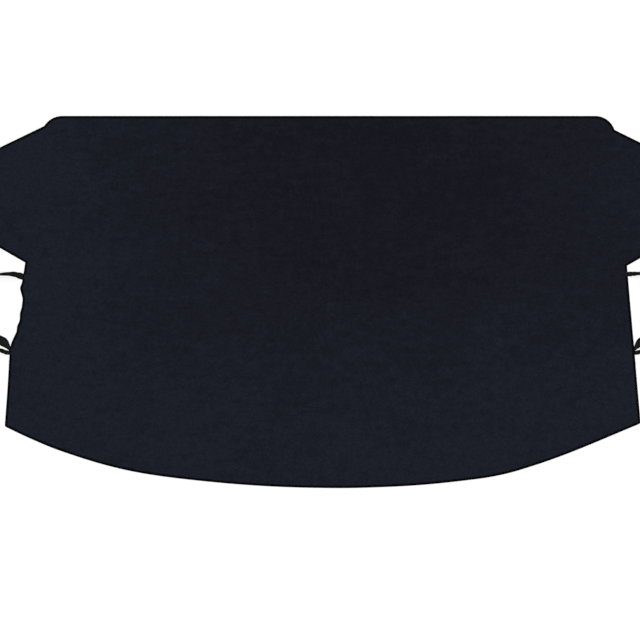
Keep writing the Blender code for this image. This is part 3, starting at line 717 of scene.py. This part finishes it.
def makeBand(side, label, kind, material):
    # ribbed section (a w / 2, +-(t / 2 - ribs)) carried along the route, turned about its length
    path = curveThrough(bandPath(side, kind), band["step"])
    length = np.concatenate(([0.0], np.cumsum(np.linalg.norm(np.diff(path, axis=0), axis=1))))
    endTab = band["tab"] if kind == "mirror" else 0.0
    freeStart, freeEnd = band["tab"] + band["flatRun"], length[-1] - endTab
    share = (length - freeStart) / (freeEnd - freeStart)
    knots = np.array(tieTurn if kind == "tie" else leftTurn if side < 0 else rightTurn, dtype=float)
    part = np.clip(np.searchsorted(knots[:, 0], share) - 1, 0, len(knots) - 2)
    low, high = knots[part], knots[part + 1]
    turn = np.radians(low[:, 1] + (high[:, 1] - low[:, 1])
                      * smoothStep((share - low[:, 0]) / (high[:, 0] - low[:, 0])))
    along = unit(np.gradient(path, axis=0))
    across = -side * np.stack((-along[:, 1], along[:, 0], np.zeros(len(path))), axis=1)
    wide = across * np.cos(turn)[:, None] + up * np.sin(turn)[:, None]
    thick = -across * np.sin(turn)[:, None] + up * np.cos(turn)[:, None]
    # bunched where it is sewn in: half width grows from the root's to the band's over the root run
    roots = [band["lowerRoot"]]
    if endTab:
        roots = [band["leftRoot"] if side < 0 else band["rightRoot"], band["lowerRoot"]]
    halfWidth = np.full(len(path), band["width"] / 2)
    for root, distance in zip(roots, (length, length[-1] - length)):
        bunched = 1 - smoothStep((distance - band["tab"]) / band["rootRun"])
        halfWidth -= (band["width"] - root) / 2 * bunched
    height = halfWidth * np.sin(turn) + band["thickness"] / 2 * np.cos(turn)
    if endTab:
        height += stack * smoothStep((length - freeEnd) / band["crossRun"] + 1)
    middle = np.column_stack((path, height))
    if not endTab:    # the hem: round a half turn and back over itself
        ahead = np.append(unit(path[-1] - path[-2]), 0.0)
        radius = (band["thickness"] + gap) / 2
        centre = np.append(path[-1], band["thickness"] + gap / 2)
        angle = np.radians(np.linspace(band["hemStart"], 90, band["hemCount"]))[:, None]
        outward = ahead * np.cos(angle) + up * np.sin(angle)
        back = np.linspace(0, band["hem"], band["hemCount"])[1:, None]
        added = len(angle) + len(back)
        middle = np.vstack((middle, centre + radius * outward, centre + radius * up - ahead * back))
        thick = np.vstack((thick, -outward, np.tile(-up, (len(back), 1))))
        wide = np.vstack((wide, np.tile(wide[-1], (added, 1))))
        halfWidth = np.append(halfWidth, np.full(added, band["width"] / 2))
        length = np.concatenate((length, length[-1] + radius * (angle[:, 0] + math.pi / 2),
                                 length[-1] + math.pi * radius + back[:, 0]))
    even = np.linspace(-1, 1, band["acrossCount"])
    a = np.sin(even * math.pi / 2) * band["acrossCrowding"] + even * (1 - band["acrossCrowding"])
    edge = (1 - np.abs(a) ** band["edgeFade"]) ** (1 / 3)
    rib = 0.5 - 0.5 * np.cos(math.pi * a * band["ribs"])
    rib = band["ribDepth"] * rib * (1 - np.abs(a) ** band["ribFade"])
    half = (band["thickness"] / 2 - rib) * (1 - band["edgeShare"] + band["edgeShare"] * edge)
    acrossAll = np.concatenate((a, a[::-1]))
    thickAll = np.concatenate((half, -half[::-1]))
    points = (middle[:, None] + wide[:, None] * (halfWidth[:, None] * acrossAll)[..., None]
              + thick[:, None] * thickAll[:, None])
    acrossAll = acrossAll * band["width"] / 2
    rows, columns = points.shape[:2]
    faces, grid = gridFaces(rows, columns, False, True)
    acrossUv = np.append(acrossAll, acrossAll[0])
    corners = np.stack((length[grid[..., 0]], acrossUv[grid[..., 1]]), axis=2)
    count = len(a)
    j = np.arange(count - 1)
    cap = np.stack((j, j + 1, 2 * count - 2 - j, 2 * count - 1 - j), axis=1)
    capUv = np.stack((np.zeros(cap.shape), acrossAll[cap]), axis=2)
    faceSets = [faces, cap[:, ::-1], cap + (rows - 1) * columns]
    cornerSets = [corners, capUv[:, ::-1], capUv]
    if side < 0:      # the mirrored side's sections run the other way round
        faceSets = [faces[:, ::-1] for faces in faceSets]
        cornerSets = [corners[:, ::-1] for corners in cornerSets]
    name = label + kind.capitalize() + "Strap"
    return makeObject(name, points.reshape(-1, 3), faceSets, material, cornerSets)


tack = dict(pitch=0.00058, outer=0.0011, inner=0.0063, radius=0.00025, rise=0.00010)


def makeTacks(material):  # a dense zigzag bar across each sewn end, through tape, sheet and strap
    starts, ends = [], []
    for side in (-1, 1):
        root = band["leftRoot"] if side < 0 else band["rightRoot"]
        for below, width in ((upperAnchor[side], root), (band["lowerAnchor"], band["lowerRoot"]),
                             (tieAnchor, band["lowerRoot"])):
            span = np.arange(-width / 2, width / 2, tack["pitch"])
            zig = np.where(np.arange(len(span)) % 2, tack["inner"], tack["outer"])
            plan = sideRim(below + span, side) - np.array((side, 0.0)) * zig[:, None]
            line = np.column_stack((plan, sideLift(below + span, side) + tapeHeight + tack["radius"] / 2))
            starts.append(line[:-1])
            ends.append(line[1:])
    return makeStitches("anchorTacks", np.vstack(starts), np.vstack(ends), tack, material)


hemRow = dict(count=5, pitch=0.0030, length=0.0024, radius=0.00022, rise=0.00016,
              first=-0.0085,    # the first stitch, across the strap from its middle
              inset=0.005)      # the row's distance from the end that is folded back


def makeHemRows(material):  # one row of stitches across the folded end of each tie strap
    starts, ends = [], []
    for side in (-1, 1):
        path = curveThrough(bandPath(side, "tie"), band["step"])
        ahead = unit(path[-1] - path[-2])
        across = np.array((-ahead[1], ahead[0]))
        span = hemRow["first"] + hemRow["pitch"] * np.arange(hemRow["count"])
        plan = path[-1] - ahead * (band["hem"] - hemRow["inset"]) + across * span[:, None]
        line = np.column_stack((plan, np.full(len(plan), 2 * band["thickness"] + gap)))
        starts.append(line)
        ends.append(line + np.append(across * hemRow["length"], 0.0))
    return makeStitches("tieHemStitches", np.vstack(starts), np.vstack(ends), hemRow, material)


view = dict(size=640, pixel=0.0023972, middleColumn=327.18, middleRow=302.04, lens=200.0, sensor=36.0,
            reach=60)


def makeCamera():  # straight above, the photograph's 640 pixels across 1.54 m of cloth
    camera = bpy.data.objects.new("camera", bpy.data.cameras.new("camera"))
    bpy.context.collection.objects.link(camera)
    camera.data.lens, camera.data.sensor_width = view["lens"], view["sensor"]
    half, pixel = view["size"] / 2, view["pixel"]
    camera.location = ((half - view["middleColumn"]) * pixel, (view["middleRow"] - half) * pixel,
                       2 * half * pixel * view["lens"] / view["sensor"])
    camera.data.clip_end = view["reach"]
    bpy.context.scene.camera = camera


# Each sun: power, tilt from straight above and turn about Z in degrees.
light = dict(overhead=0.80, horizon=0.26, keySun=(1.05, 28, 35), fillSun=(0.30, 36, 215), sunAngle=24)


def makeLights():
    for name in ("keySun", "fillSun"):
        power, tilt, turn = light[name]
        lamp = bpy.data.lights.new(name, "SUN")
        lamp.energy, lamp.angle = power, math.radians(light["sunAngle"])
        obj = bpy.data.objects.new(name, lamp)
        obj.rotation_euler = (math.radians(tilt), 0, math.radians(turn))
        bpy.context.collection.objects.link(obj)
    shade = Shade(bpy.data.worlds.new("studio"), "Background")
    point = shade.node("ShaderNodeTexCoord")[0]
    z = shade.node("ShaderNodeSeparateXYZ", values=[point])[2]
    # a soft box overhead, dimmer towards the horizon, and plain white where it is seen
    overhead = {"Value": z, "To Min": light["horizon"], "To Max": light["overhead"]}
    height = shade.node("ShaderNodeMapRange", values=overhead)[0]
    rays = {ray.socket.name: ray for ray in shade.node("ShaderNodeLightPath")}
    seen = rays["Is Camera Ray"].orLarger(rays["Is Transmission Ray"])
    strength = shade.node("ShaderNodeMix", values={0: seen, 2: height, 3: 1.0})[0]
    bpy.context.scene.world = shade.finish({"Color": (1, 1, 1, 1), "Strength": strength})


# The floor lies just under the cover, and glows where it is seen so that it shows white.
ground = dict(half=22.0, below=0.0004, glow=0.58, grey=(0.48, 0.48, 0.48, 1))


def makeFloor():
    half = ground["half"]
    mesh = bpy.data.meshes.new("floor")
    places = [(-half, -half, 0), (half, -half, 0), (half, half, 0), (-half, half, 0)]
    mesh.from_pydata(places, [], [(0, 1, 2, 3)])
    floor = bpy.data.objects.new("floor", mesh)
    floor.location.z = -ground["below"]
    bpy.context.collection.objects.link(floor)
    shade = Shade(bpy.data.materials.new("floorWhite"))
    cameraRay = shade.node("ShaderNodeLightPath")[0]
    mesh.materials.append(shade.finish({
        "Base Color": ground["grey"], "Roughness": 0.9, "Specular IOR Level": 0.1,
        "Emission Color": (1, 1, 1, 1), "Emission Strength": cameraRay * ground["glow"]}))


bpy.context.scene.view_settings.view_transform = "Standard"
makeCamera()
makeLights()
makeFloor()
print("stage set")

cloth, tapeCloth, elastic, thread = makeCloth(), makeTape(), makeElastic(), makeThread()
sheet = makeSheet(cloth)
print("sheet laid:", len(sheet.data.polygons), "faces")
binding = makeBinding(tapeCloth)
seamRow = makeSeam(thread)
tacks = makeTacks(thread)
hemRows = makeHemRows(thread)
print("edge bound and sewn")
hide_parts("cover_sheet")
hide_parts("edge_binding")
pieces = [sheet, binding, seamRow, tacks, hemRows]
for side, label in ((-1, "left"), (1, "right")):
    for kind in ("mirror", "tie"):
        strap = makeBand(side, label, kind, elastic)
        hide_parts(f"{label}_{kind}_strap")
        pieces.append(strap)
print("straps laid")
for piece in pieces:
    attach(piece, "root")

rim, _, _ = wholeRim(step=0.01)
turned = np.roll(rim, -1, axis=0)
flatArea = float(abs((rim[:, 0] * turned[:, 1] - turned[:, 0] * rim[:, 1]).sum()) / 2)
